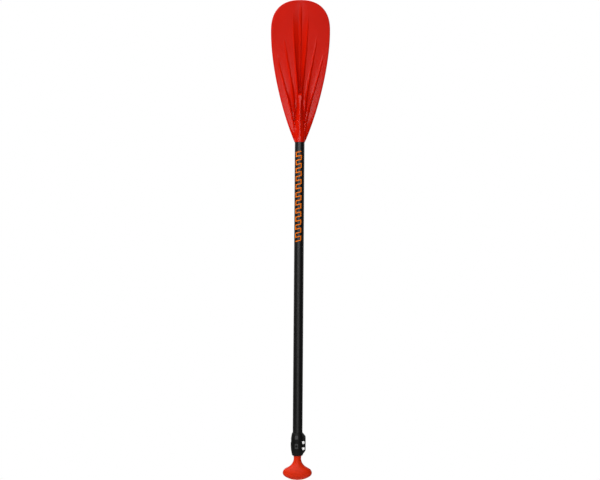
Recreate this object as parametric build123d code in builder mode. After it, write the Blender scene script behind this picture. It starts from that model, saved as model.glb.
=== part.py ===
from build123d import *

import os
from math import asin, cos, degrees, pi, radians, sin

# Adjustable stand-up paddle at its shortest length, blade up.
# Frame: +Z runs along the shaft towards the blade, and +X and -Y are the sides on which the
# clamp's split ear and its screw heads lie. The origin is on the shaft's axis, at the middle
# of the bare shaft between clamp and blade. Lengths are millimetres.

# ---- shaft and handle tube -------------------------------------------------------------
SHAFT_RADIUS = 15.0
SHAFT_WALL = 1.3
SHAFT_BORE = SHAFT_RADIUS - SHAFT_WALL
BARE_HALF = 447.0          # the bare shaft reaches this far each way from the origin
SHAFT_TOP = 512.0          # end inside the blade's socket
SHAFT_BOTTOM = -510.0      # end inside the clamp
SLOT_WIDTH = 3.0           # slot that lets the shaft's end close on the handle tube
SLOT_TOP = -458.0
HANDLE_RADIUS = 13.4
HANDLE_WALL = 1.2
HANDLE_BORE = HANDLE_RADIUS - HANDLE_WALL
HANDLE_TOP = 40.0
HANDLE_BOTTOM = -514.5
GROOVE_RADIUS = 2.3        # groove formed along the handle tube on its -X side
GLUE_GAP = 0.05

# ---- blade -----------------------------------------------------------------------------
BLADE_BASE = BARE_HALF
BLADE_TIP = 874.4
WIDEST_Z = 781.0
HALF_WIDTH = 90.2
SOCKET_RADIUS = 16.5
SOCKET_TOP = 545.0
BOSS_NOSE_Z = 610.0
LEAN_START = 471.0         # the blade curves towards -Y from here up
LEAN_DEPTH = 62.3          # how far its tip lies towards -Y
LEAN_POWER = 1.8
EDGE_HALF_THICK = 2.4
NECK_HALF_THICK = 11.0
THINNING = 3.3
RIB_HEIGHT = 1.6
RIB_WIDTH = 4.0
BLADE_DEEP = 120.0         # further than the blade reaches in Y
# Each rib is a line fanning out from the neck: its points are (distance from the centre, z).
RIB_LINES = (
    ((6.4, 598), (13.9, 687), (19.5, 745), (23.0, 812)),
    ((15.3, 540), (20.8, 592), (26.7, 634), (36.8, 687), (50.0, 752)),
    ((14.0, 462), (21.5, 518), (30.3, 563), (42.0, 598), (55.0, 641), (68.0, 684)),
)
SPINE_LOW = 590.0
SPINE_HIGH = 850.0

# ---- clamp -----------------------------------------------------------------------------
COLLAR_TOP = -446.5
COLLAR_BOTTOM = -516.5
COLLAR_MID = -481.0
COLLAR_BORE = SHAFT_RADIUS + GLUE_GAP
LIP_RADIUS = 13.9
LIP_TOP = -514.0
BARREL_MID_RADIUS = 21.0
BARREL_TOP_RADIUS = 17.3
BARREL_BOTTOM_RADIUS = 17.1
EAR_FRONT = -12.0
EAR_REAR = 9.0
SLIT = 2.0
SCREW_X = 18.0
BELT_TOP = -466.0
BELT_BOTTOM = -476.4
BELT_RADIUS = 19.9
EAR_OUTLINE = (            # (x, -z) of the ear's corners
    (10, 447.5),
    (15.8, 446.9),
    (24.4, 457.4),
    (25.0, 459.5),
    (25.0, 498.5),
    (23.2, 502.6),
    (15.6, 512.2),
    (10, 514.5),
)
EAR_EDGE = 1.2
HEAD_POCKET = 5.0
BLIND_HOLE = 1.9
BLIND_HOLE_X = 17.6
BLIND_HOLE_Z = -462.0
BLIND_HOLE_DEEP = 3.0
CUT = 80.0                 # longer than any cut through the clamp
SCREW_ZS = (-475.4, -494.0)
SCREW_RADIUS = 2.0
HEAD_RADIUS = 3.8
HEAD_HEIGHT = 2.2
WASHER_RADIUS = 4.5
WASHER_THICK = 0.8
SCREW_LENGTH = 30.0
HOLE_RADIUS = 2.2
PIVOT_Y = 16.8
PIN_RADIUS = 4.0
CAM_RADIUS = 6.0
CAM_OFFSET = 0.4
RECESS_RADIUS = 17.7       # floor of the collar's recess for the lever
RECESS_LOW = -505.4
RECESS_HIGH = -462.0
LEVER_LOW = -504.6
LEVER_HIGH = -462.8
LEVER_OPEN = 130.0         # degrees that the lever swings open
KEY_HALF = 1.9
KEY_LOW = -505.0
KEY_HIGH = -475.0

# ---- palm grip: height, half width and half depth of each ellipse ------------------------
GRIP_SECTIONS = (
    (-521.0, 11.5, 11.5),
    (-529.0, 11.6, 11.4),
    (-538.5, 14.8, 12.6),
    (-547.5, 22.2, 14.6),
    (-554.0, 31.8, 16.6),
    (-560.5, 40.8, 18.4),
    (-569.5, 44.9, 19.5),
    (-578.5, 40.9, 18.4),
    (-585.0, 31.0, 15.0),
    (-589.0, 20.5, 10.5),
    (-591.6, 9.0, 4.8),
)

os.makedirs("parts", exist_ok=True)


def save(piece, name):
    """Labels a finished piece and writes it as its own STEP file."""
    piece.part.label = name
    export_step(piece.part, f"parts/{name}.step")


def tube(outer, inner, low, high):
    """A plain round tube about the Z axis."""
    with BuildPart() as made:
        with BuildSketch(Plane.XY.offset(low)):
            Circle(outer)
            Circle(inner, mode=Mode.SUBTRACT)
        extrude(amount=high - low)
    return made


def half_width(z):
    """Half the blade's width at height z."""
    if z > WIDEST_Z:
        part = min((z - WIDEST_Z) / (BLADE_TIP - WIDEST_Z), 1)
        return HALF_WIDTH * (1 - part**2.48) ** (1 / 2.385)
    part = (WIDEST_Z - z) / (WIDEST_Z - BLADE_BASE)
    return HALF_WIDTH - 113.7 * part**2 + 73.6 * part**3 - 34.2 * part**4


def centre_y(z):
    """The blade's middle surface: straight at the socket, curving towards -Y above it."""
    part = max(z - LEAN_START, 0) / (BLADE_TIP - LEAN_START)
    return -LEAN_DEPTH * part**LEAN_POWER


def half_thick(z):
    """Half the blade's thickness at height z."""
    left = (BLADE_TIP - z) / (BLADE_TIP - BLADE_BASE)
    return EDGE_HALF_THICK + (NECK_HALF_THICK - EDGE_HALF_THICK) * max(left, 0) ** THINNING


# ---- blade -----------------------------------------------------------------------------
def slab_profile(proud):
    """Side view of the blade's plate, with its -Y face standing proud by the given amount."""
    above = 4.0
    count = 9
    step = (BLADE_TIP + above - BLADE_BASE) / (count - 1)
    heights = [BLADE_BASE + step * n for n in range(count)]
    front = [(centre_y(z) - half_thick(z) - proud, z) for z in heights]
    back = [(centre_y(z) + half_thick(z), z) for z in heights]
    with BuildSketch() as profile:
        with BuildLine():
            Spline(*front)
            Line(front[-1], back[-1])
            Spline(*back)
            Line(back[0], front[0])
        make_face()
    return profile.sketch


with BuildPart() as ribs:
    with BuildSketch(Plane.XZ):
        with BuildLine():
            Line((0, SPINE_LOW), (0, SPINE_HIGH))
            for side in (-1, 1):
                for line in RIB_LINES:
                    Spline(*[(side * x, z) for x, z in line])
        trace(line_width=RIB_WIDTH)
    extrude(amount=BLADE_DEEP)
    with BuildSketch(Plane.YZ):
        add(slab_profile(RIB_HEIGHT))
    extrude(amount=HALF_WIDTH + 10, both=True, mode=Mode.INTERSECT)

with BuildPart() as blade:
    with BuildSketch(Plane.XZ):
        with BuildLine():
            lower = [BLADE_BASE + (WIDEST_Z - BLADE_BASE) * n / 8 for n in range(8)]
            upper = [WIDEST_Z + (BLADE_TIP - WIDEST_Z) * sin(pi / 2 * n / 8) for n in range(8)]
            right = [(half_width(z), z) for z in lower + upper]
            left = [(-x, z) for x, z in reversed(right)]
            Spline(*right, (0, BLADE_TIP), *left)
            Line(left[-1], right[0])
        make_face()
    extrude(amount=BLADE_DEEP, both=True)
    with BuildSketch(Plane.YZ):
        add(slab_profile(0))
    extrude(amount=HALF_WIDTH + 10, both=True, mode=Mode.INTERSECT)
    add(ribs.part)
    # the socket, with the nose of its boss sinking into the plate
    with BuildSketch(Plane.XZ):
        with BuildLine():
            Polyline((0, BLADE_BASE), (SOCKET_RADIUS, BLADE_BASE), (SOCKET_RADIUS, SOCKET_TOP))
            Spline(
                (SOCKET_RADIUS, SOCKET_TOP),
                (SOCKET_RADIUS * 0.8, (SOCKET_TOP + BOSS_NOSE_Z) / 2),
                (0, BOSS_NOSE_Z),
                tangents=((0, 1), (-1, 0)),
            )
            Line((0, BOSS_NOSE_Z), (0, BLADE_BASE))
        make_face()
    revolve(axis=Axis.Z)
    with BuildSketch(Plane.XY.offset(BLADE_BASE)):
        Circle(SHAFT_RADIUS + GLUE_GAP)
    extrude(amount=SHAFT_TOP - BLADE_BASE, mode=Mode.SUBTRACT)
save(blade, "blade")


# ---- shaft tube and what is fixed in it ---------------------------------------------------
RIVET_ANGLE = 270 - degrees(asin(3.6 / BARREL_MID_RADIUS))
RIVET_Z = -486.2
RIVET_SHANK = 2.0
RIVET_HEAD = 3.2
RIVET_HEAD_LOW = 17.6
RIVET_HEAD_HIGH = 19.3
RIVET_PAD = (10.8, 16.4)   # width and height
RIVET_PAD_FACE = 21.4      # distance of its face from the axis
UPPER_PAD = (10.0, 12.4)
UPPER_PAD_FACE = 19.8
UPPER_PAD_Z = -459.6
PAD_TILT = 8.0             # degrees that the upper pad faces upwards, as the barrel does there

rivet_plane = Plane(
    origin=(0, 0, RIVET_Z),
    x_dir=(-sin(radians(RIVET_ANGLE)), cos(radians(RIVET_ANGLE)), 0),
    z_dir=(cos(radians(RIVET_ANGLE)), sin(radians(RIVET_ANGLE)), 0),
)

with BuildPart() as shaft_tube:
    with BuildSketch(Plane.XY.offset(SHAFT_BOTTOM)):
        Circle(SHAFT_RADIUS)
        Circle(SHAFT_BORE, mode=Mode.SUBTRACT)
    extrude(amount=SHAFT_TOP - SHAFT_BOTTOM)
    # slot on the ear's side, and a second one opposite it that the key passes through
    with BuildSketch(Plane.XY.offset(SHAFT_BOTTOM)):
        with Locations((SHAFT_RADIUS, 0)):
            Rectangle(8, SLOT_WIDTH)
    extrude(amount=SLOT_TOP - SHAFT_BOTTOM, mode=Mode.SUBTRACT)
    with BuildSketch(Plane.XY.offset(SHAFT_BOTTOM)):
        with Locations((-SHAFT_RADIUS, 0)):
            Rectangle(8, 2 * KEY_HALF + 0.4)
    extrude(amount=KEY_HIGH + 3 - SHAFT_BOTTOM, mode=Mode.SUBTRACT)
    with BuildSketch(rivet_plane.offset(SHAFT_BORE - 3)):
        Circle(RIVET_SHANK + GLUE_GAP)
    extrude(amount=8, mode=Mode.SUBTRACT)
save(shaft_tube, "shaft_tube")

SHAFT_PLUG_LOW = 472.0
SHAFT_PLUG_LENGTH = 38.0
with BuildPart() as shaft_foam_plug:
    with BuildSketch(Plane.XY.offset(SHAFT_PLUG_LOW)):
        Circle(SHAFT_BORE - GLUE_GAP)
    extrude(amount=SHAFT_PLUG_LENGTH)
    chamfer(shaft_foam_plug.edges(), 1.0)
save(shaft_foam_plug, "shaft_foam_plug")

# Printed film: pairs of chevrons that point towards the blade.
FILM_THICK = 0.12
FILM_LOW = 141.0
FILM_PITCH = 25.9
FILM_UNITS = 11
FILM_GAP = 8.0             # between the two chevrons of a pair
FILM_HALF = 9.2
FILM_STROKE = 3.4
FILM_TURN = -12.0          # degrees from the -Y side towards -X

film_plane = Plane.XZ.rotated((0, 0, FILM_TURN))
with BuildPart() as shaft_decal:
    with BuildSketch(film_plane):
        for unit in range(FILM_UNITS):
            low = FILM_LOW + unit * FILM_PITCH
            point = low + FILM_HALF
            with BuildLine():
                Polyline((-FILM_HALF, low), (0, point), (FILM_HALF, low))
                Polyline(
                    (-FILM_HALF, low + FILM_GAP), (0, point + FILM_GAP), (FILM_HALF, low + FILM_GAP)
                )
            trace(line_width=FILM_STROKE)
        Rectangle(2 * FILM_HALF, 2000, mode=Mode.INTERSECT)
    extrude(amount=40)
    with BuildSketch(Plane.XY):
        Circle(SHAFT_RADIUS + FILM_THICK)
        Circle(SHAFT_RADIUS, mode=Mode.SUBTRACT)
    extrude(amount=BARE_HALF, mode=Mode.INTERSECT)
save(shaft_decal, "shaft_decal")


# ---- clamp -----------------------------------------------------------------------------
def barrel(inset):
    """Half section of the clamp's barrel, drawn inwards by inset, from the axis outwards."""
    top = COLLAR_TOP
    low = COLLAR_BOTTOM
    foot = BARREL_BOTTOM_RADIUS - inset
    head = BARREL_TOP_RADIUS - inset
    with BuildSketch() as section:
        with BuildLine():
            Line((0, low), (foot - 1.8, low))
            ThreePointArc((foot - 1.8, low), (foot - 0.5, low + 1.3), (foot, low + 3.4))
            ThreePointArc(
                (foot, low + 3.4), (BARREL_MID_RADIUS - inset, COLLAR_MID), (head, top - 1.4)
            )
            Polyline((head, top - 1.4), (head - 1.2, top), (0, top), (0, low))
        make_face()
    return section.sketch


def screw_plane(y):
    """A plane facing +Y at the given y, whose sketches use (x, -z)."""
    return Plane(origin=(0, y, 0), x_dir=(1, 0, 0), z_dir=(0, 1, 0))


with BuildPart() as clamp_collar:
    with BuildSketch(Plane.XZ):
        add(barrel(0))
    revolve(axis=Axis.Z)
    # pads on the front: a plain upper one and one round the rivet
    with BuildSketch(rivet_plane.offset(12)):
        RectangleRounded(*RIVET_PAD, 1.2)
    extrude(amount=RIVET_PAD_FACE - 12)
    upper_pad = Plane(
        origin=rivet_plane.z_dir * UPPER_PAD_FACE + Vector(0, 0, UPPER_PAD_Z),
        x_dir=rivet_plane.x_dir,
        z_dir=rivet_plane.z_dir * cos(radians(PAD_TILT)) + Vector(0, 0, sin(radians(PAD_TILT))),
    )
    with BuildSketch(upper_pad):
        RectangleRounded(*UPPER_PAD, 1.0)
    extrude(amount=-3.0)
    # the belt round the barrel
    with BuildSketch(Plane.XZ):
        with Locations((BELT_RADIUS, BELT_BOTTOM)):
            Rectangle(6, BELT_TOP - BELT_BOTTOM, align=(Align.MIN, Align.MIN))
    revolve(axis=Axis.Z, mode=Mode.SUBTRACT)
    # the split ear
    with BuildSketch(screw_plane(EAR_FRONT)):
        with BuildLine():
            Polyline(*EAR_OUTLINE, close=True)
        make_face()
    extrude(amount=EAR_REAR - EAR_FRONT)
    ear_front = clamp_collar.edges().filter_by_position(Axis.Y, EAR_FRONT - 0.1, EAR_FRONT + 0.1)
    fillet(ear_front.filter_by_position(Axis.X, BARREL_MID_RADIUS, 26), EAR_EDGE)
    # bores: the shaft's, and the lip's below it
    with BuildSketch(Plane.XY.offset(LIP_TOP)):
        Circle(COLLAR_BORE)
    extrude(amount=CUT, mode=Mode.SUBTRACT)
    with BuildSketch(Plane.XY.offset(COLLAR_BOTTOM - 1)):
        Circle(LIP_RADIUS)
    extrude(amount=5, mode=Mode.SUBTRACT)
    # the slit through the ear
    with BuildSketch(Plane.XY.offset(COLLAR_BOTTOM - 1)):
        with Locations((20, 0)):
            Rectangle(18, SLIT)
    extrude(amount=CUT, mode=Mode.SUBTRACT)
    # screw holes and the pockets for their heads, and a blind hole above them
    for z in SCREW_ZS:
        with BuildSketch(screw_plane(EAR_FRONT)):
            with Locations((SCREW_X, -z)):
                Circle(HOLE_RADIUS)
        extrude(amount=CUT, mode=Mode.SUBTRACT)
        with BuildSketch(screw_plane(EAR_FRONT)):
            with Locations((SCREW_X, -z)):
                Circle(HEAD_POCKET)
        extrude(amount=-CUT, mode=Mode.SUBTRACT)
    with BuildSketch(screw_plane(EAR_FRONT + BLIND_HOLE_DEEP)):
        with Locations((BLIND_HOLE_X, -BLIND_HOLE_Z)):
            Circle(BLIND_HOLE)
    extrude(amount=-CUT, mode=Mode.SUBTRACT)
    # the lever's recess round the back, and the seat of the plate behind the ear
    with BuildSketch(Plane.XY.offset(RECESS_LOW)):
        Polygon((0, 0), (15.24, 9.0), (60, 9.0), (60, 60), (-60, 60), (-60, 8.43), align=None)
        Circle(RECESS_RADIUS, mode=Mode.SUBTRACT)
    extrude(amount=RECESS_HIGH - RECESS_LOW, mode=Mode.SUBTRACT)
    with BuildSketch(Plane.XY.offset(RECESS_LOW)):
        with Locations((13.6, EAR_REAR)):
            Rectangle(30, 30, align=(Align.MIN, Align.MIN))
        Circle(16.3, mode=Mode.SUBTRACT)
    extrude(amount=RECESS_HIGH - RECESS_LOW, mode=Mode.SUBTRACT)
    # the key's pocket
    with BuildSketch(Plane.XY.offset(KEY_LOW)):
        with Locations((-15.6, 0)):
            Rectangle(2.0, 2 * KEY_HALF)
    extrude(amount=KEY_HIGH - KEY_LOW, mode=Mode.SUBTRACT)
    # the rivet's hole and sunk head
    with BuildSketch(rivet_plane.offset(12)):
        Circle(RIVET_SHANK + GLUE_GAP)
    extrude(amount=12, mode=Mode.SUBTRACT)
    with BuildSketch(rivet_plane.offset(RIVET_HEAD_LOW)):
        Circle(RIVET_HEAD + 0.1)
    extrude(amount=6, mode=Mode.SUBTRACT)
save(clamp_collar, "clamp_collar")

with BuildPart() as collar_rivet:
    with BuildSketch(rivet_plane.offset(SHAFT_BORE + 0.1)):
        Circle(RIVET_SHANK)
    extrude(amount=RIVET_HEAD_LOW - SHAFT_BORE - 0.1)
    with BuildSketch(rivet_plane.offset(RIVET_HEAD_LOW)):
        Circle(RIVET_HEAD)
    extrude(amount=RIVET_HEAD_HIGH - RIVET_HEAD_LOW)
    with BuildSketch(rivet_plane.offset(RIVET_HEAD_HIGH)):
        Circle(1.2)
    extrude(amount=-1.0, mode=Mode.SUBTRACT)
save(collar_rivet, "collar_rivet")

with BuildPart() as anti_twist_key:
    with BuildSketch(Plane.XY.offset(KEY_LOW)):
        with Locations((-16.6, 0)):
            Rectangle(3.1, 2 * KEY_HALF, align=(Align.MIN, Align.CENTER))
        with Locations((-13.5, 0)):
            Circle(KEY_HALF)
    extrude(amount=KEY_HIGH - KEY_LOW)
save(anti_twist_key, "anti_twist_key")

wiper_ring = tube(SHAFT_RADIUS, HANDLE_RADIUS + 0.1, LIP_TOP, SHAFT_BOTTOM)
save(wiper_ring, "wiper_ring")

with BuildPart() as screw_washers:
    for z in SCREW_ZS:
        with BuildSketch(screw_plane(EAR_FRONT - WASHER_THICK)):
            with Locations((SCREW_X, -z)):
                Circle(WASHER_RADIUS)
                Circle(HOLE_RADIUS, mode=Mode.SUBTRACT)
        extrude(amount=WASHER_THICK)
save(screw_washers, "screw_washers")

HEAD_SEAT = EAR_FRONT - WASHER_THICK
with BuildPart() as clamp_screws:
    for z in SCREW_ZS:
        with BuildSketch(screw_plane(HEAD_SEAT)):
            with Locations((SCREW_X, -z)):
                Circle(HEAD_RADIUS)
        extrude(amount=-HEAD_HEIGHT)
    crowns = clamp_screws.edges().group_by(Axis.Y)[0]
    fillet(crowns, 1.4)
    for z in SCREW_ZS:
        with BuildSketch(screw_plane(HEAD_SEAT)):
            with Locations((SCREW_X, -z)):
                Circle(SCREW_RADIUS)
        extrude(amount=SCREW_LENGTH)
        with BuildSketch(screw_plane(HEAD_SEAT - HEAD_HEIGHT)):
            with Locations((SCREW_X, -z)):
                RegularPolygon(1.25, 6, major_radius=False)
        extrude(amount=1.3, mode=Mode.SUBTRACT)
save(clamp_screws, "clamp_screws")

PLATE = (10.5, 34.0)
PLATE_X = 19.25
PLATE_Z = -484.7
PLATE_THICK = 1.1
with BuildPart() as thrust_plate:
    with BuildSketch(screw_plane(EAR_REAR)):
        with Locations((PLATE_X, -PLATE_Z)):
            RectangleRounded(*PLATE, 1.5)
        with Locations([(SCREW_X, -z) for z in SCREW_ZS]):
            Circle(HOLE_RADIUS, mode=Mode.SUBTRACT)
    extrude(amount=PLATE_THICK)
save(thrust_plate, "thrust_plate")

with BuildPart() as barrel_pin:
    with BuildSketch(Plane.XY.offset(LEVER_LOW + 0.6)):
        with Locations((SCREW_X, PIVOT_Y)):
            Circle(PIN_RADIUS)
    extrude(amount=LEVER_HIGH - LEVER_LOW - 1.2)
    chamfer(barrel_pin.edges().filter_by(GeomType.CIRCLE), 0.5)
    for z in SCREW_ZS:
        with BuildSketch(screw_plane(0)):
            with Locations((SCREW_X, -z)):
                Circle(SCREW_RADIUS + 0.03)
        extrude(amount=40, mode=Mode.SUBTRACT)
save(barrel_pin, "barrel_pin")

LEVER_TIP_ANGLE = 158.0
LINK_OUTLINE = (           # (x, y) of the link between hub and arm
    (12.6, 12.6),
    (18.0, 13.0),
    (19.0, 22.2),
    (14.6, 22.1),
    (9.0, 20.9),
    (5.4, 20.0),
    (4.6, 17.0),
)
FINGER_LIP = 1.5
FINGER_LIP_AT = 19.6       # distance of the lip's centre from the axis
SCREW_SLOT = 4.8
ARM_INNER = RECESS_RADIUS + 0.4
with BuildPart() as cam_lever:
    # the arm follows the barrel round the back of the collar
    with BuildSketch(Plane.XZ):
        add(barrel(0.1))
    revolve(axis=Axis.Z)
    tip_x = 60 * cos(radians(LEVER_TIP_ANGLE))
    tip_y = 60 * sin(radians(LEVER_TIP_ANGLE))
    with BuildSketch(Plane.XY.offset(LEVER_LOW)):
        Polygon((0, 0), (35, 60), (tip_x, 60), (tip_x, tip_y), align=None)
    extrude(amount=LEVER_HIGH - LEVER_LOW, mode=Mode.INTERSECT)
    # the hub, eccentric to the pin, and its link to the arm
    with BuildSketch(Plane.XY.offset(LEVER_LOW)):
        with Locations((SCREW_X, PIVOT_Y - CAM_OFFSET)):
            Circle(CAM_RADIUS)
        Polygon(*LINK_OUTLINE, align=None)
    extrude(amount=LEVER_HIGH - LEVER_LOW)
    # finger lip along the arm's tip
    lip_angle = radians(LEVER_TIP_ANGLE - 3)
    with BuildSketch(Plane.XY.offset(LEVER_LOW + 6)):
        with Locations((FINGER_LIP_AT * cos(lip_angle), FINGER_LIP_AT * sin(lip_angle))):
            Circle(FINGER_LIP)
    extrude(amount=LEVER_HIGH - LEVER_LOW - 12)
    with BuildSketch(Plane.XY.offset(LEVER_LOW - 1)):
        Circle(ARM_INNER)
    extrude(amount=60, mode=Mode.SUBTRACT)
    with BuildSketch(Plane.XY.offset(LEVER_LOW - 1)):
        with Locations((SCREW_X, PIVOT_Y)):
            Circle(PIN_RADIUS + GLUE_GAP)
    extrude(amount=60, mode=Mode.SUBTRACT)
    # slots in the hub that clear the screws over the lever's whole swing
    swing = [radians(270 + LEVER_OPEN * n / 4) for n in range(5)]
    for z in SCREW_ZS:
        with BuildSketch(Plane.XY.offset(z - SCREW_SLOT / 2)):
            with Locations((SCREW_X, PIVOT_Y)):
                Polygon((0, 0), *[(14 * cos(a), 14 * sin(a)) for a in swing], align=None)
            for end in (swing[0], swing[-1]):
                middle = (SCREW_X + 6 * cos(end), PIVOT_Y + 6 * sin(end))
                with Locations(Location((*middle, 0), (0, 0, degrees(end)))):
                    Rectangle(12, 4.6)
        extrude(amount=SCREW_SLOT, mode=Mode.SUBTRACT)
save(cam_lever, "cam_lever")


# ---- handle tube and what is fixed in it ----------------------------------------------------
with BuildPart() as handle_tube:
    with BuildSketch(Plane.XY.offset(HANDLE_BOTTOM)):
        Circle(HANDLE_RADIUS)
        with Locations((-HANDLE_RADIUS, 0)):
            Circle(GROOVE_RADIUS, mode=Mode.SUBTRACT)
        with BuildSketch(mode=Mode.PRIVATE) as bore:
            Circle(HANDLE_BORE)
            with Locations((-HANDLE_RADIUS, 0)):
                Circle(GROOVE_RADIUS + HANDLE_WALL, mode=Mode.SUBTRACT)
        add(bore.sketch, mode=Mode.SUBTRACT)
    extrude(amount=HANDLE_TOP - HANDLE_BOTTOM)
save(handle_tube, "handle_tube")

# marks every 10 mm, a longer one every 50 mm, on the front of the handle tube
MARK_LOW = -500.0
MARK_STEP = 10.0
MARKS = 40
MARK_WIDTH = 7.0
LONG_MARK_WIDTH = 14.0
MARK_HEIGHT = 1.2
INK_THICK = 0.08
with BuildPart() as length_scale:
    with BuildSketch(Plane.XZ):
        for mark in range(MARKS + 1):
            width = LONG_MARK_WIDTH if mark % 5 == 0 else MARK_WIDTH
            with Locations((0, MARK_LOW + mark * MARK_STEP)):
                Rectangle(width, MARK_HEIGHT)
    extrude(amount=40)
    with BuildSketch(Plane.XY.offset(MARK_LOW - 5)):
        Circle(HANDLE_RADIUS + INK_THICK)
        Circle(HANDLE_RADIUS, mode=Mode.SUBTRACT)
    extrude(amount=MARKS * MARK_STEP + 10, mode=Mode.INTERSECT)
save(length_scale, "length_scale")


def stem_sketch(radius):
    """A disc that fits the handle tube's bore, with a notch for its groove."""
    with BuildSketch() as disc:
        Circle(radius)
        with Locations((-HANDLE_RADIUS, 0)):
            Circle(GROOVE_RADIUS + HANDLE_WALL + GLUE_GAP, mode=Mode.SUBTRACT)
    return disc.sketch


BUSHING_RADIUS = 13.5
BUSHING_STEM = 24.0
BUSHING_HEAD = 10.0
RING_RADIUS = 1.0          # thickness of the rubber ring's cord, as a radius
RING_CENTRE = 12.6
RING_Z = HANDLE_TOP + 5.0
with BuildPart() as end_bushing:
    with BuildSketch(Plane.XY.offset(HANDLE_TOP - BUSHING_STEM)):
        add(stem_sketch(HANDLE_BORE - GLUE_GAP))
    extrude(amount=BUSHING_STEM)
    with BuildSketch(Plane.XY.offset(HANDLE_TOP)):
        Circle(BUSHING_RADIUS)
    extrude(amount=BUSHING_HEAD)
    chamfer(end_bushing.edges().filter_by(GeomType.CIRCLE).group_by(Axis.Z)[-1], 1.0)
    with BuildSketch(Plane.XZ):
        with Locations((RING_CENTRE, RING_Z)):
            Rectangle(2.2 * RING_RADIUS + 2, 2.2 * RING_RADIUS)
    revolve(axis=Axis.Z, mode=Mode.SUBTRACT)
    with BuildSketch(Plane.XY.offset(HANDLE_TOP)):
        Circle(RING_CENTRE - RING_RADIUS - 0.1)
    extrude(amount=BUSHING_HEAD)
save(end_bushing, "end_bushing")

with BuildPart() as bushing_ring:
    with BuildSketch(Plane.XZ):
        with Locations((RING_CENTRE, RING_Z)):
            Circle(RING_RADIUS)
    revolve(axis=Axis.Z)
save(bushing_ring, "bushing_ring")

HANDLE_PLUG_LOW = -20.0
HANDLE_PLUG_LENGTH = 34.0
with BuildPart() as handle_foam_plug:
    with BuildSketch(Plane.XY.offset(HANDLE_PLUG_LOW)):
        add(stem_sketch(HANDLE_BORE - GLUE_GAP))
    extrude(amount=HANDLE_PLUG_LENGTH)
save(handle_foam_plug, "handle_foam_plug")

STEM_TOP = -470.0
with BuildPart() as palm_grip:
    with BuildSketch(Plane.XY.offset(HANDLE_BOTTOM)):
        add(stem_sketch(HANDLE_BORE - GLUE_GAP))
    extrude(amount=STEM_TOP - HANDLE_BOTTOM)
    with BuildSketch(Plane.XY.offset(HANDLE_BOTTOM)):
        Circle(HANDLE_RADIUS - 0.1)
    with BuildSketch(Plane.XY.offset(GRIP_SECTIONS[0][0])):
        Circle(GRIP_SECTIONS[0][1])
    loft()
    for z, wide, deep in GRIP_SECTIONS:
        with BuildSketch(Plane.XY.offset(z)):
            Ellipse(wide, deep)
    loft()
save(palm_grip, "palm_grip")
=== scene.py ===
import math

import bpy
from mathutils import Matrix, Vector


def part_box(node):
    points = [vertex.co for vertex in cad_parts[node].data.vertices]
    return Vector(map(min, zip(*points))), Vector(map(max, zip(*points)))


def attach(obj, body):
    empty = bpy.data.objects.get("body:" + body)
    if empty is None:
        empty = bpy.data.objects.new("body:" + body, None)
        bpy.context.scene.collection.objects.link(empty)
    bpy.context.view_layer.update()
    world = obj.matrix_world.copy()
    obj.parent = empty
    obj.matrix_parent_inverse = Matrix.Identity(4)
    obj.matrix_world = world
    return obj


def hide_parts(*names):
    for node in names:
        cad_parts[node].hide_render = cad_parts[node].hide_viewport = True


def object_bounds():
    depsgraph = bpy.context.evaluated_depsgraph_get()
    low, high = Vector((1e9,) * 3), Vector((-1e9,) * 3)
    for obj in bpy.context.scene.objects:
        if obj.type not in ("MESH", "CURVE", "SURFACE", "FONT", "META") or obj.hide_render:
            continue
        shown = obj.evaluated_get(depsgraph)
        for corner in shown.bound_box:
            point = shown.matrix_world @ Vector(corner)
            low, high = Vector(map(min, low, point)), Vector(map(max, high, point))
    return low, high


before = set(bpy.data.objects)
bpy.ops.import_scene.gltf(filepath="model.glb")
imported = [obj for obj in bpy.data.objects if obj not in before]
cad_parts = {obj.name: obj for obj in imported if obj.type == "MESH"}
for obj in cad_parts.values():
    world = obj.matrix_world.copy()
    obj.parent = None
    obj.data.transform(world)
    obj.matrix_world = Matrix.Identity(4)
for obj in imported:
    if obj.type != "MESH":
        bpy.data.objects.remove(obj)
cad_box = [list(corner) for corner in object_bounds()]

# Adjustable stand-up paddle. Shapes are worked out in millimetres in the frame of the CAD
# model, and turned into metres when a mesh is made.
MM = 0.001


def box_mm(node):
    """Lowest and highest corner of a CAD node, in millimetres."""
    low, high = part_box(node)
    return low / MM, high / MM


# ---- small maths -------------------------------------------------------------------------
def step(low, high, value):
    """0 below low, 1 above high, smooth between."""
    t = min(max((value - low) / (high - low), 0.0), 1.0)
    return t * t * (3 - 2 * t)


def mix(a, b, t):
    return a + (b - a) * t


def smooth_max(a, b, width):
    """The larger of a and b, with the corner between them rounded over width."""
    near = max(width - abs(a - b), 0.0) / width
    return max(a, b) + near * near * width / 4


def curve(*points):
    """A smooth function through (z, value) points that doesn't overshoot between them."""
    zs = [p[0] for p in points]
    values = [p[1] for p in points]
    slopes = [(values[i + 1] - values[i]) / (zs[i + 1] - zs[i]) for i in range(len(zs) - 1)]
    tangents = [slopes[0]]
    for a, b in zip(slopes, slopes[1:]):
        tangents.append(0.0 if a * b <= 0 else 2 * a * b / (a + b))
    tangents.append(slopes[-1])

    def at(z):
        if z <= zs[0]:
            return values[0]
        if z >= zs[-1]:
            return values[-1]
        i = next(n for n in range(len(zs) - 1) if z <= zs[n + 1])
        span = zs[i + 1] - zs[i]
        t = (z - zs[i]) / span
        rise = values[i] * (1 + 2 * t) * (1 - t) ** 2 + values[i + 1] * t * t * (3 - 2 * t)
        turn = span * (tangents[i] * t * (1 - t) ** 2 - tangents[i + 1] * t * t * (1 - t))
        return rise + turn

    return at


# ---- mesh building -----------------------------------------------------------------------
SHARP = math.radians(38)


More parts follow.
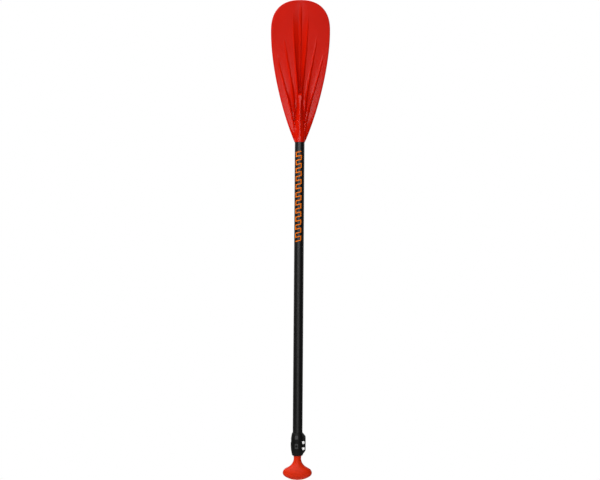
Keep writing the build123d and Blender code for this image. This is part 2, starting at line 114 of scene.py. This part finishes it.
def make_piece(name, points, faces, body, material, sharp=SHARP):
    """A mesh piece from points in millimetres, smooth except over edges sharper than sharp."""
    mesh = bpy.data.meshes.new(name)
    mesh.from_pydata([Vector(p) * MM for p in points], [], faces)
    mesh.validate()
    mesh.polygons.foreach_set("use_smooth", [True] * len(mesh.polygons))
    mesh.set_sharp_from_angle(angle=sharp)
    mesh.materials.append(material)
    piece = bpy.data.objects.new(name, mesh)
    bpy.context.scene.collection.objects.link(piece)
    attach(piece, body)
    return piece


def skin(rings):
    """Points and faces of a closed skin over rings of equal length, with a fan at each end."""
    count = len(rings[0])
    points = [p for ring in rings for p in ring]
    faces = []
    for r in range(len(rings) - 1):
        for c in range(count):
            a = r * count + c
            b = r * count + (c + 1) % count
            faces.append((a, b, b + count, a + count))
    for ring, flip in ((rings[0], False), (rings[-1], True)):
        middle = sum((Vector(p) for p in ring), Vector()) / count
        points.append(middle)
        first = 0 if not flip else (len(rings) - 1) * count
        for c in range(count):
            a, b = first + c, first + (c + 1) % count
            faces.append((a, b, len(points) - 1) if flip else (b, a, len(points) - 1))
    return points, faces


# ---- materials ---------------------------------------------------------------------------
def makers(tree):
    """The functions that add a node to a node tree and link two of its nodes."""

    def node(kind, **values):
        made = tree.nodes.new(kind)
        for key, value in values.items():
            if key in made.inputs:
                made.inputs[key].default_value = value
            else:
                setattr(made, key, value)
        return made

    def link(a, out, b, into):
        tree.links.new(a.outputs[out], b.inputs[into])

    return node, link


def new_material(name):
    """A material with only its shader and output, and the shader and node makers for it."""
    material = bpy.data.materials.new(name)
    material.use_nodes = True
    tree = material.node_tree
    return material, tree.nodes["Principled BSDF"], *makers(tree)


def shades(material_colour, amount):
    """A darker and a lighter version of a colour."""
    dark = tuple(max(c * (1 - amount), 0) for c in material_colour)
    light = tuple(min(c * (1 + amount), 1) for c in material_colour)
    return (*dark, 1), (*light, 1)


def box_mask(node, link, place, centre, half):
    """1 inside a box given in millimetres, 0 outside it, soft over the box's last tenth."""
    fit = node("ShaderNodeMapping", vector_type="TEXTURE")
    fit.inputs["Location"].default_value = [c * MM for c in centre]
    fit.inputs["Scale"].default_value = [h * MM for h in half]
    away = node("ShaderNodeVectorMath", operation="ABSOLUTE")
    split = node("ShaderNodeSeparateXYZ")
    sideways = node("ShaderNodeMath", operation="MAXIMUM")
    furthest = node("ShaderNodeMath", operation="MAXIMUM")
    soft = node("ShaderNodeMapRange")
    soft.inputs["From Min"].default_value = 1.0
    soft.inputs["From Max"].default_value = 0.9
    link(place, "Object", fit, "Vector")
    link(fit, "Vector", away, 0)
    link(away, "Vector", split, "Vector")
    link(split, "X", sideways, 0)
    link(split, "Y", sideways, 1)
    link(sideways, "Value", furthest, 0)
    link(split, "Z", furthest, 1)
    link(furthest, "Value", soft, "Value")
    return soft


MIX_A, MIX_B, MIX_RESULT = 6, 7, 2    # the colour sockets of a mix node


def paint_highlight(material, boxes, colour):
    """Paints a highlight: the parts of a material inside the boxes in another colour."""
    tree = material.node_tree
    node, link = makers(tree)
    shader = tree.nodes["Principled BSDF"]
    place = next(n for n in tree.nodes if n.bl_idname == "ShaderNodeTexCoord")
    for centre, half in boxes:
        mask = box_mask(node, link, place, centre, half)
        blend = node("ShaderNodeMix", data_type="RGBA")
        link(mask, "Result", blend, "Factor")
        tree.links.new(shader.inputs["Base Color"].links[0].from_socket, blend.inputs[MIX_A])
        blend.inputs[MIX_B].default_value = (*colour, 1)
        link(blend, MIX_RESULT, shader, "Base Color")


def moulded(name, colour, roughness, level, grain=1400.0, depth=0.00003, vary=0.06, smear=0.06):
    """Moulded plastic: a fine grain, soft cloudiness in its colour and uneven gloss."""
    material, shader, node, link = new_material(name)
    place = node("ShaderNodeTexCoord")
    clouds = node("ShaderNodeTexNoise", Scale=9.0, Detail=3.0, Roughness=0.55)
    link(place, "Object", clouds, "Vector")
    tint = node("ShaderNodeValToRGB")
    dark, light = shades(colour, vary)
    tint.color_ramp.elements[0].position = 0.3
    tint.color_ramp.elements[0].color = dark
    tint.color_ramp.elements[1].position = 0.7
    tint.color_ramp.elements[1].color = light
    link(clouds, "Fac", tint, "Fac")
    link(tint, "Color", shader, "Base Color")
    smears = node("ShaderNodeTexNoise", Scale=55.0, Detail=5.0, Roughness=0.6)
    stretch = node("ShaderNodeMapping", vector_type="POINT")
    stretch.inputs["Scale"].default_value = (1.0, 1.0, 0.25)
    link(place, "Object", stretch, "Vector")
    link(stretch, "Vector", smears, "Vector")
    gloss = node("ShaderNodeMapRange")
    gloss.inputs["To Min"].default_value = roughness - smear
    gloss.inputs["To Max"].default_value = roughness + smear
    link(smears, "Fac", gloss, "Value")
    link(gloss, "Result", shader, "Roughness")
    grains = node("ShaderNodeTexNoise", Scale=grain, Detail=2.0, Roughness=0.5)
    link(place, "Object", grains, "Vector")
    bump = node("ShaderNodeBump", Strength=0.35, Distance=depth)
    link(grains, "Fac", bump, "Height")
    link(bump, "Normal", shader, "Normal")
    shader.inputs["Specular IOR Level"].default_value = level
    return material


BLADE_RED = moulded("blade_red", (0.55, 0.0068, 0.0004), 0.19, 0.17, depth=0.000006, smear=0.02)
GRIP_ORANGE = moulded("grip_orange", (0.68, 0.024, 0.0018), 0.42, 0.12, depth=0.000015)
SHAFT_BLACK = moulded("shaft_black", (0.0045, 0.0044, 0.0043), 0.36, 0.38, grain=2600.0, vary=0.15)
CLAMP_BLACK = moulded("clamp_black", (0.0036, 0.0035, 0.0034), 0.45, 0.17, vary=0.15)
# Painted highlight: the pads on the front of the collar are painted a lighter black, standing in for
# the key light's reflection on them.
PAD_PAINTED_HIGHLIGHT = (0.045, 0.045, 0.046)
PAD_HIGHLIGHT_BOXES = (              # centre and half size of each pad on the front of the collar, where the highlight is painted
    ((-3.1, -20.0, -459.6), (4.6, 2.6, 5.8)),
    ((-3.1, -21.5, -486.2), (5.1, 1.6, 7.9)),
)
paint_highlight(CLAMP_BLACK, PAD_HIGHLIGHT_BOXES, PAD_PAINTED_HIGHLIGHT)
LEVER_BLACK = moulded("lever_black", (0.007, 0.007, 0.0068), 0.36, 0.4, vary=0.15)
PIN_BLACK = moulded("pin_black", (0.003, 0.003, 0.003), 0.5, 0.15, vary=0.15)
PRINT_ORANGE = moulded("print_orange", (0.82, 0.175, 0.003), 0.45, 0.08, grain=3000.0, depth=0.00001)
PRINT_BLACK = moulded("print_black", (0.01, 0.01, 0.01), 0.4, 0.3, grain=3000.0)
ACETAL = moulded("acetal", (0.6, 0.59, 0.55), 0.4, 0.4)
RUBBER = moulded("rubber", (0.014, 0.014, 0.014), 0.7, 0.3)
FOAM = moulded("foam", (0.7, 0.69, 0.64), 0.85, 0.2, grain=500.0, depth=0.0003)


def metal(name, colour, roughness):
    """Bare metal with fine turning marks."""
    material, shader, node, link = new_material(name)
    place = node("ShaderNodeTexCoord")
    marks = node("ShaderNodeTexNoise", Scale=900.0, Detail=3.0, Roughness=0.6)
    link(place, "Object", marks, "Vector")
    tint = node("ShaderNodeValToRGB")
    dark, light = shades(colour, 0.08)
    tint.color_ramp.elements[0].color = dark
    tint.color_ramp.elements[1].color = light
    link(marks, "Fac", tint, "Fac")
    link(tint, "Color", shader, "Base Color")
    gloss = node("ShaderNodeMapRange")
    gloss.inputs["To Min"].default_value = roughness - 0.06
    gloss.inputs["To Max"].default_value = roughness + 0.08
    link(marks, "Fac", gloss, "Value")
    link(gloss, "Result", shader, "Roughness")
    bump = node("ShaderNodeBump", Strength=0.2, Distance=0.00001)
    link(marks, "Fac", bump, "Height")
    link(bump, "Normal", shader, "Normal")
    shader.inputs["Metallic"].default_value = 1.0
    return material


STEEL = metal("steel", (0.78, 0.77, 0.75), 0.24)
ZINC = metal("zinc", (0.97, 0.97, 0.96), 0.46)
TUBE_BARE = metal("tube_bare", (0.62, 0.62, 0.63), 0.32)


# ---- blade -------------------------------------------------------------------------------
BLADE_LOW, BLADE_HIGH = box_mm("blade")
BASE = BLADE_LOW.z
TIP = BLADE_HIGH.z
HALF = BLADE_HIGH.x
WIDEST = TIP - 93.4
SOCKET = 16.5
SOCKET_BORE = 15.05
BORE_END = 512.0
LEAN_START = 471.0
LEAN_DEPTH = 62.3
LEAN_POWER = 1.8
EDGE = 2.2                 # half thickness of the blade's rounded edge
TIP_POWER = 2.48
TIP_ROOT = 2.385
CHANNEL_FLOOR = -8.4       # lowest level of the front in the middle channel
HOLLOW_FLOOR = -2.6        # and in the hollows between the ribs
SPINE = 0.86               # height of the rear spine, as a part of the channel's depth
BOSS_END = 597.0
BOSS_HALF = 16.0
BOSS_ROUND = 0.9
BOSS_BLEND = 1.4
HUMP_END = 630.0
HUMP_BLEND = 2.5
LIP = 0.5                  # chamfer round the mouth of the socket

FINE_STEP = 1.1            # between sections, up to where all the ribs have begun
FINE_ROWS = 160
COARSE_STEP = 1.8          # and above that
TIP_SPAN = 18              # the sections close up over about this last stretch
TIP_ROWS = 40
TIP_GAP = 0.02             # the last section stops this far short of the tip

rib_line_1 = curve((447, 4.2), (560, 4.8), (598, 6.2), (613, 7.2), (640, 9.6), (687, 13.9),
                   (745, 18.6), (799, 22.2), (874, 25))
rib_line_2 = curve((447, 11.0), (485, 12.4), (518, 14.6), (543, 16.0), (560, 17.4), (592, 20.8),
                   (634, 27.2), (687, 36.8), (734, 46.2), (800, 58))
rib_line_3 = curve((447, 13.2), (470, 14.6), (491, 16.9), (516, 21.2), (548, 28.4), (579, 36),
                   (598, 42), (641, 55), (678, 67.5), (720, 80))
plate_front = curve((447, 12), (470, 9.2), (500, 6.8), (530, 5.6), (560, 5.1), (600, 4.8),
                    (640, 4.5), (687, 4.1), (740, 3.5), (800, 3.0), (874, 2.3))
plate_rear = curve((447, 12), (500, 8.5), (560, 6.0), (630, 4.4), (740, 3.2), (874, 2.4))
channel = curve((586, 0), (596, 14.0), (650, 13.0), (687, 10.8), (745, 7.4), (800, 4.2), (830, 2.4),
                (850, 1.2), (872, 0))
channel_shape = curve((590, 3.0), (650, 2.2), (700, 1.2), (745, 1.0))
pocket_12 = curve((512, 0), (519, 8.4), (550, 8.0), (575, 6.0), (600, 2.4), (687, 0.6), (740, 0.0))
pocket_23 = curve((506, 0), (516, 8.8), (548, 6.8), (580, 3.6), (600, 2.0), (687, 0.6), (740, 0.0))
rib_0 = curve((590, 0), (600, 4.4), (650, 5.6), (700, 5.4), (800, 3.2), (868, 0))
rib_0_half = curve((590, 2.6), (650, 3.0), (700, 4.4), (800, 4.6))
rib_1 = curve((568, 0), (590, 4.0), (600, 4.6), (640, 4.0), (687, 2.8), (745, 1.7), (800, 0.8),
              (832, 0))
rib_2 = curve((532, 0), (541, 3.6), (560, 4.2), (600, 3.6), (640, 2.7), (687, 1.9), (735, 0.9),
              (768, 0))
rib_3 = curve((449, 0), (466, 1.8), (490, 3.2), (520, 3.9), (560, 3.7), (600, 3.0), (640, 2.1),
              (687, 1.0), (712, 0))
rib_spread = curve((447, 2.6), (500, 3.0), (600, 2.8), (800, 2.6))
shaft_cover = curve((512, 15.4), (520, 4.0))
boss_top = curve((447, 16.5), (500, 17.2), (516, 16.8), (546, 14.2), (563, 12.4), (580, 11.0),
                 (588, 10.2), (593, 7.5), (597, 2.0))
boss_crest = curve((447, 2.0), (480, 1.2), (505, 0.8), (546, 0.8), (561, 1.8), (577, 3.4), (592, 4.5))
boss_slope = curve((447, 0.3), (480, 0.55), (510, 1.1), (546, 1.3), (575, 1.8), (592, 2.2))
hump_height = curve((447, 16.5), (543, 21.1), (580, 16), (625, 2.0))
hump_width = curve((447, 16.5), (543, 16.5), (590, 11), (630, 5))


def half_width(z):
    """Half the blade's width at height z."""
    if z > WIDEST:
        part = min((z - WIDEST) / (TIP - WIDEST), 1.0)
        return HALF * (1 - part**TIP_POWER) ** (1 / TIP_ROOT)
    part = (WIDEST - z) / (WIDEST - BASE)
    return smooth_max(HALF - 113.7 * part**2 + 73.6 * part**3 - 34.2 * part**4, SOCKET, 1.0)


def centre_y(z):
    """The blade's middle surface: straight at the socket, curving towards -Y above it."""
    part = max(z - LEAN_START, 0) / (TIP - LEAN_START)
    return -LEAN_DEPTH * part**LEAN_POWER


def below(value, limit):
    """value where it is well under limit, and never above limit."""
    return value / (1 + (value / limit) ** 8) ** 0.125


def hollow(x, inner, outer, depth):
    """Depth of a hollow between two ribs, at distance x from the blade's middle line."""
    if depth <= 0 or not inner < x < outer:
        return 0.0
    u = (x - inner) / (outer - inner)
    return depth * (1 - abs(2 * u - 1) ** 2.4)


def ridge(distance, spread, rise):
    """Height of a rib at a distance from its crest."""
    if rise <= 0 or abs(distance) >= spread:
        return 0.0
    return rise * math.cos(math.pi / 2 * distance / spread) ** 2


def round_top(radius, x):
    """Height of a circle of that radius over its centre's level, 0 outside it."""
    return math.sqrt(max(radius * radius - x * x, 0.0))


class Row:
    """Everything about the blade's section at height z that doesn't depend on x."""

    def __init__(self, z):
        self.z = z
        self.wide = half_width(z)
        wide = max(self.wide, 1e-6)
        self.crests = [
            below(rib_line_1(z), 0.32 * wide),
            below(rib_line_2(z), 0.64 * wide),
            below(rib_line_3(z), 0.86 * wide),
        ]
        self.front_level = plate_front(z)
        self.rear_level = plate_rear(z)
        self.lean = centre_y(z)
        self.neck = 1 - step(BASE + 2, BASE + 26, z)
        self.rib_half = rib_spread(z)
        self.ribs = list(zip(self.crests, (rib_1(z), rib_2(z), rib_3(z))))
        edge = min(EDGE, self.wide)
        self.edge = edge
        self.edge_power = max(2 * wide / max(edge, 1e-6), 2.0)

    def plate(self, x, middle):
        c = min(abs(x) / max(self.wide, 1e-6), 1.0)
        arched = (middle - self.edge) * (1 - c * c)
        return arched + self.edge * math.sqrt(max(1 - c**self.edge_power, 0.0))

    def boss(self, x):
        """The boss over the end of the shaft, which runs out into a nose."""
        past = max(x - boss_crest(self.z), 0.0)
        fall = boss_slope(self.z) * (math.hypot(past, BOSS_ROUND) - BOSS_ROUND)
        return smooth_max(boss_top(self.z) - fall, round_top(shaft_cover(self.z), x), 0.3)

    def front(self, x):
        z = self.z
        x = abs(x)
        one, two, three = self.crests
        height = self.plate(x, self.front_level)
        if x < one:
            height -= channel(z) * (1 - (x / one) ** channel_shape(z))
        height -= hollow(x, one, two, pocket_12(z))
        height -= hollow(x, two, three, pocket_23(z))
        height = max(height, CHANNEL_FLOOR if x < one else HOLLOW_FLOOR)
        height += ridge(x, rib_0_half(z), rib_0(z))
        for line, rise in self.ribs:
            height += ridge(x - line, self.rib_half, rise)
        if z < BOSS_END and x < BOSS_HALF:
            height = smooth_max(height, self.boss(x), BOSS_BLEND)
        return mix(height, round_top(SOCKET, x), self.neck) if self.neck else height

    def back(self, x):
        z = self.z
        x = abs(x)
        height = self.plate(x, self.rear_level)
        if x < self.crests[0]:
            height += SPINE * channel(z) * math.cos(math.pi / 2 * x / self.crests[0]) ** 2
        wide = hump_width(z)
        if x < wide and z < HUMP_END:
            hump = hump_height(z) * math.sqrt(1 - (x / wide) ** 2)
            height = smooth_max(height, hump, HUMP_BLEND)
        return mix(height, round_top(SOCKET, x), self.neck) if self.neck else height


def spread(low, high, count, ends=0.85):
    """count positions from low up to, but not including, high, closer together at both ends."""
    found = []
    for n in range(count):
        u = n / count
        found.append(low + (high - low) * mix(u, (1 - math.cos(math.pi * u)) / 2, ends))
    return found


def blade_ring(row):
    """One closed section of the blade: across the front from -X to +X, and back behind."""
    knots = [0, *row.crests, row.wide]
    right = []
    for low, high, count in zip(knots, knots[1:], (16, 20, 20, 30)):
        right += spread(low, high, count)
    across = [-x for x in reversed(right[1:])] + right
    ring = [(-row.wide, row.lean, row.z)]
    ring += [(x, row.lean - row.front(x), row.z) for x in across]
    ring.append((row.wide, row.lean, row.z))
    behind = spread(row.wide, -row.wide, 72, ends=1.0)[1:]
    ring += [(x, row.lean + row.back(x), row.z) for x in behind]
    return ring


def circle_like(ring, radius, z):
    """A round ring at height z with a point in the same direction for each point of ring."""
    found = []
    for x, y, _ in ring:
        size = math.hypot(x, y)
        found.append((x / size * radius, y / size * radius, z))
    return found


def make_blade():
    heights = [BASE + FINE_STEP * n for n in range(FINE_ROWS)]
    fine_end = heights[-1]
    coarse_rows = int((TIP - TIP_SPAN - fine_end) / COARSE_STEP)
    heights += [fine_end + COARSE_STEP * n for n in range(1, coarse_rows)]
    last = heights[-1]
    heights += [
        last + (TIP - TIP_GAP - last) * math.sin(math.pi / 2 * n / TIP_ROWS)
        for n in range(1, TIP_ROWS + 1)
    ]
    rings = [blade_ring(Row(z)) for z in heights]
    bore = [circle_like(rings[0], SOCKET_BORE, z) for z in (BORE_END, BASE)]
    lip = circle_like(rings[0], SOCKET - LIP, BASE)
    rings[0] = circle_like(rings[0], SOCKET, BASE + LIP)
    points, faces = skin([*bore, lip, *rings])
    blade = make_piece(
        "blade_shell", points, faces, "paddle", BLADE_RED, math.radians(70)
    )
    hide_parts("blade")


# ---- palm grip ---------------------------------------------------------------------------
def make_grip():
    low, high = box_mm("palm_grip")
    wide = curve((-591.5, 5), (-590.6, 14.6), (-588, 24.2), (-584.8, 31.6), (-581.7, 37.2),
                 (-578.6, 41), (-575.5, 43.4), (-572.4, 44.6), (-569.3, 44.9), (-566.2, 44.3),
                 (-563, 42.9), (-560, 40.8), (-556.9, 37.4), (-553.8, 31.8), (-550.8, 26.3),
                 (-547.7, 22.1), (-544.6, 18.9), (-541.5, 16.6), (-535.4, 13.4), (-529.2, 11.6),
                 (-524, 11.3), (-519.5, 11.8), (-517, 12.8), (-515.5, 13.2))
    deep = curve((-591.5, 3.4), (-590.6, 7.2), (-588, 11.3), (-584.8, 14.6), (-578.6, 18.2),
                 (-569.3, 19.4), (-560, 18.3), (-550.8, 15.6), (-541.5, 12.9), (-529.2, 11.3),
                 (-524, 11.3), (-519.5, 11.8), (-517, 12.8), (-515.5, 13.2))
    count = 128

    def ring(z, a, b, power=2.0):
        found = []
        for n in range(count):
            angle = 2 * math.pi * n / count
            c, s = math.cos(angle), math.sin(angle)
            size = (abs(c) ** power + abs(s) ** power) ** (-1 / power)
            found.append((a * c * size, b * s * size, z))
        return found

    bottom = low.z + 0.1
    top = -515.5
    rows = 90
    heights = [mix(bottom, top, (n / rows) ** 1.25) for n in range(rows + 1)]
    rings = [ring(z, wide(z), deep(z), 2 + 0.25 * step(-545, -565, z)) for z in heights]
    rings += [ring(-514.9, 13.0, 13.0), ring(-514.5, 12.6, 12.6)]
    rings += [ring(z, 12.1, 12.1) for z in (-514.4, -500.0, high.z + 0.6)]
    rings.append(ring(high.z, 11.5, 11.5))
    points, faces = skin(rings)
    grip = make_piece("grip_body", points, faces, "handle", GRIP_ORANGE)
    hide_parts("palm_grip")


# ---- printed film on the shaft -----------------------------------------------------------
FILM_LOW = 140.2
FILM_PITCH = 12.4
FILM_CROSSINGS = 23
FILM_REACH = 9.7           # round the shaft, each side of the film's middle line
FILM_SLANT = 4.0
FILM_STROKE = 2.9
FILM_BACK = 14.98
FILM_FACE = 15.12
FILM_TURN = math.radians(-12)
FILM_PART = 1.0            # about how far apart the line's cross sections are
MITRE_LIMIT = 0.3


def offset_path(path, side):
    """The path moved sideways, with mitred corners."""
    found = []
    last = len(path) - 1
    for i, point in enumerate(path):
        ins = (point - path[i - 1]).normalized() if i else None
        outs = (path[i + 1] - point).normalized() if i < last else None
        ins, outs = ins or outs, outs or ins
        normal_in = Vector((-ins.y, ins.x))
        normal_out = Vector((-outs.y, outs.x))
        mitre = (normal_in + normal_out).normalized()
        found.append(point + mitre * side / max(mitre.dot(normal_in), MITRE_LIMIT))
    return found


def printed_line(path):
    """Points and faces of one printed line along a path, bent round the shaft."""
    path = [Vector(p) for p in path]
    left = offset_path(path, FILM_STROKE / 2)
    right = offset_path(path, -FILM_STROKE / 2)
    pairs = []
    for i in range(len(path) - 1):
        parts = max(int((path[i + 1] - path[i]).length / FILM_PART), 1)
        for n in range(parts):
            t = n / parts
            pairs.append((left[i].lerp(left[i + 1], t), right[i].lerp(right[i + 1], t)))
    pairs.append((left[-1], right[-1]))
    points = []
    for a, b in pairs:
        for (across, z), radius in ((a, FILM_BACK), (b, FILM_BACK), (b, FILM_FACE), (a, FILM_FACE)):
            angle = FILM_TURN + across / FILM_FACE
            points.append((radius * math.sin(angle), -radius * math.cos(angle), z))
    faces = []
    end = 4 * (len(pairs) - 1)
    for a in range(0, end, 4):
        for c in range(4):
            d = (c + 1) % 4
            faces.append((a + c, a + 4 + c, a + 4 + d, a + d))
    faces += [(0, 1, 2, 3), (end + 3, end + 2, end + 1, end)]
    return points, faces


def make_film():
    """One slanted line that winds from side to side all the way up the film."""
    edge = FILM_REACH - FILM_STROKE / 2
    path = []
    side = -1
    for crossing in range(FILM_CROSSINGS):
        low = FILM_LOW + FILM_STROKE / 2 + crossing * FILM_PITCH
        slant = FILM_SLANT / 2 * side
        path += [(side * edge, low + FILM_SLANT / 2 + slant),
                 (-side * edge, low + FILM_SLANT / 2 - slant)]
        side = -side
    points, faces = printed_line(path)
    film = make_piece("shaft_print", points, faces, "paddle", PRINT_ORANGE)
    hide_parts("shaft_decal")


make_blade()
make_grip()
make_film()

FINISHES = {
    "shaft_tube": SHAFT_BLACK,
    "shaft_foam_plug": FOAM,
    "clamp_collar": CLAMP_BLACK,
    "collar_rivet": PIN_BLACK,
    "anti_twist_key": ACETAL,
    "wiper_ring": RUBBER,
    "clamp_screws": ZINC,
    "screw_washers": ZINC,
    "thrust_plate": STEEL,
    "barrel_pin": STEEL,
    "cam_lever": LEVER_BLACK,
    "handle_tube": TUBE_BARE,
    "length_scale": PRINT_BLACK,
    "end_bushing": ACETAL,
    "bushing_ring": RUBBER,
    "handle_foam_plug": FOAM,
}
for node_name, finish in FINISHES.items():
    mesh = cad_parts[node_name].data
    mesh.materials.clear()
    mesh.materials.append(finish)


# ---- camera, light and floor -------------------------------------------------------------
SENSOR_WIDTH = 36          # millimetres
CAMERA_DISTANCE = 4.5
PICTURE_WIDTH = 1.8462     # metres across the picture at the shaft
CAMERA_X = 0.0031
CAMERA_Z = 0.1462
ROLL = math.radians(0.42)

camera_data = bpy.data.cameras.new("camera")
camera_data.sensor_width = SENSOR_WIDTH
camera_data.lens = SENSOR_WIDTH * CAMERA_DISTANCE / PICTURE_WIDTH
camera_data.clip_end = 100
camera = bpy.data.objects.new("camera", camera_data)
camera.location = (CAMERA_X, -CAMERA_DISTANCE, CAMERA_Z)
camera.rotation_euler = (math.pi / 2, -ROLL, 0)
bpy.context.scene.collection.objects.link(camera)
bpy.context.scene.camera = camera
bpy.context.scene.view_settings.view_transform = "Standard"


def area_light(name, place, aim, width, height, power):
    data = bpy.data.lights.new(name, "AREA")
    data.shape = "RECTANGLE"
    data.size = width
    data.size_y = height
    data.energy = power
    lamp = bpy.data.objects.new(name, data)
    lamp.location = place
    lamp.rotation_euler = (Vector(aim) - Vector(place)).to_track_quat("-Z", "Y").to_euler()
    bpy.context.scene.collection.objects.link(lamp)


area_light("key", (-0.6, -3.0, 1.49), (-0.6, 0, 1.49), 3.0, 2.68, 94)
area_light("upper_left", (-2.6, -1.3, 2.7), (0, 0, 0.3), 2.4, 2.0, 100)
area_light("low", (-0.1, -3.0, -0.71), (-0.1, 0, -0.71), 2.0, 0.54, 8)


def make_world():
    """Dim in front of the object, bright behind it, and plain white where the camera sees it."""
    world = bpy.data.worlds.new("studio")
    bpy.context.scene.world = world
    world.use_nodes = True
    tree = world.node_tree
    node, link = makers(tree)
    background = tree.nodes["Background"]
    background.inputs["Color"].default_value = (1, 1, 1, 1)
    white = node("ShaderNodeBackground", Color=(1, 1, 1, 1), Strength=1.0)
    place = node("ShaderNodeTexCoord")
    split = node("ShaderNodeSeparateXYZ")
    link(place, "Generated", split, "Vector")
    ramp = node("ShaderNodeMapRange", interpolation_type="SMOOTHSTEP")
    ramp.inputs["From Min"].default_value = 0.0
    ramp.inputs["From Max"].default_value = 0.8
    ramp.inputs["To Min"].default_value = 0.04
    ramp.inputs["To Max"].default_value = 1.0
    link(split, "Y", ramp, "Value")
    link(ramp, "Result", background, "Strength")
    path = node("ShaderNodeLightPath")
    chosen = node("ShaderNodeMixShader")
    link(path, "Is Camera Ray", chosen, "Fac")
    link(background, "Background", chosen, 1)
    link(white, "Background", chosen, 2)
    link(chosen, "Shader", tree.nodes["World Output"], "Surface")


HANDLE_TRAVEL = 0.4        # how far the grip moves down when the handle is drawn out


def make_floor():
    """A pale round floor, just under the grip when the handle is drawn out."""
    material, shader, node, link = new_material("pale_floor")
    place = node("ShaderNodeTexCoord")
    distance = node("ShaderNodeVectorMath", operation="LENGTH")
    link(place, "Object", distance, "Vector")
    fade = node("ShaderNodeValToRGB")
    fade.color_ramp.elements[0].position = 0.09
    fade.color_ramp.elements[0].color = (0.9, 0.9, 0.9, 1)
    fade.color_ramp.elements[1].position = 0.26
    fade.color_ramp.elements[1].color = (0.06, 0.06, 0.06, 1)
    middle = fade.color_ramp.elements.new(0.16)
    middle.color = (0.4, 0.4, 0.4, 1)
    shrink = node("ShaderNodeMath", operation="MULTIPLY")
    shrink.inputs[1].default_value = 0.1
    link(distance, "Value", shrink, 0)
    link(shrink, "Value", fade, "Fac")
    link(fade, "Color", shader, "Base Color")
    shader.inputs["Roughness"].default_value = 0.9
    shader.inputs["Specular IOR Level"].default_value = 0.0
    white = node("ShaderNodeEmission", Strength=1.0)
    path = node("ShaderNodeLightPath")
    chosen = node("ShaderNodeMixShader")
    link(path, "Is Camera Ray", chosen, "Fac")
    link(shader, "BSDF", chosen, 1)
    link(white, "Emission", chosen, 2)
    link(chosen, "Shader", material.node_tree.nodes["Material Output"], "Surface")
    level = cad_box[0][2] - HANDLE_TRAVEL - 0.002
    sides = 96
    reach = 14.0
    ring = [(reach * math.cos(2 * math.pi * n / sides), reach * math.sin(2 * math.pi * n / sides),
             level) for n in range(sides)]
    mesh = bpy.data.meshes.new("floor")
    mesh.from_pydata(ring, [], [tuple(range(sides))])
    mesh.materials.append(material)
    floor = bpy.data.objects.new("floor", mesh)
    bpy.context.scene.collection.objects.link(floor)


make_world()
make_floor()
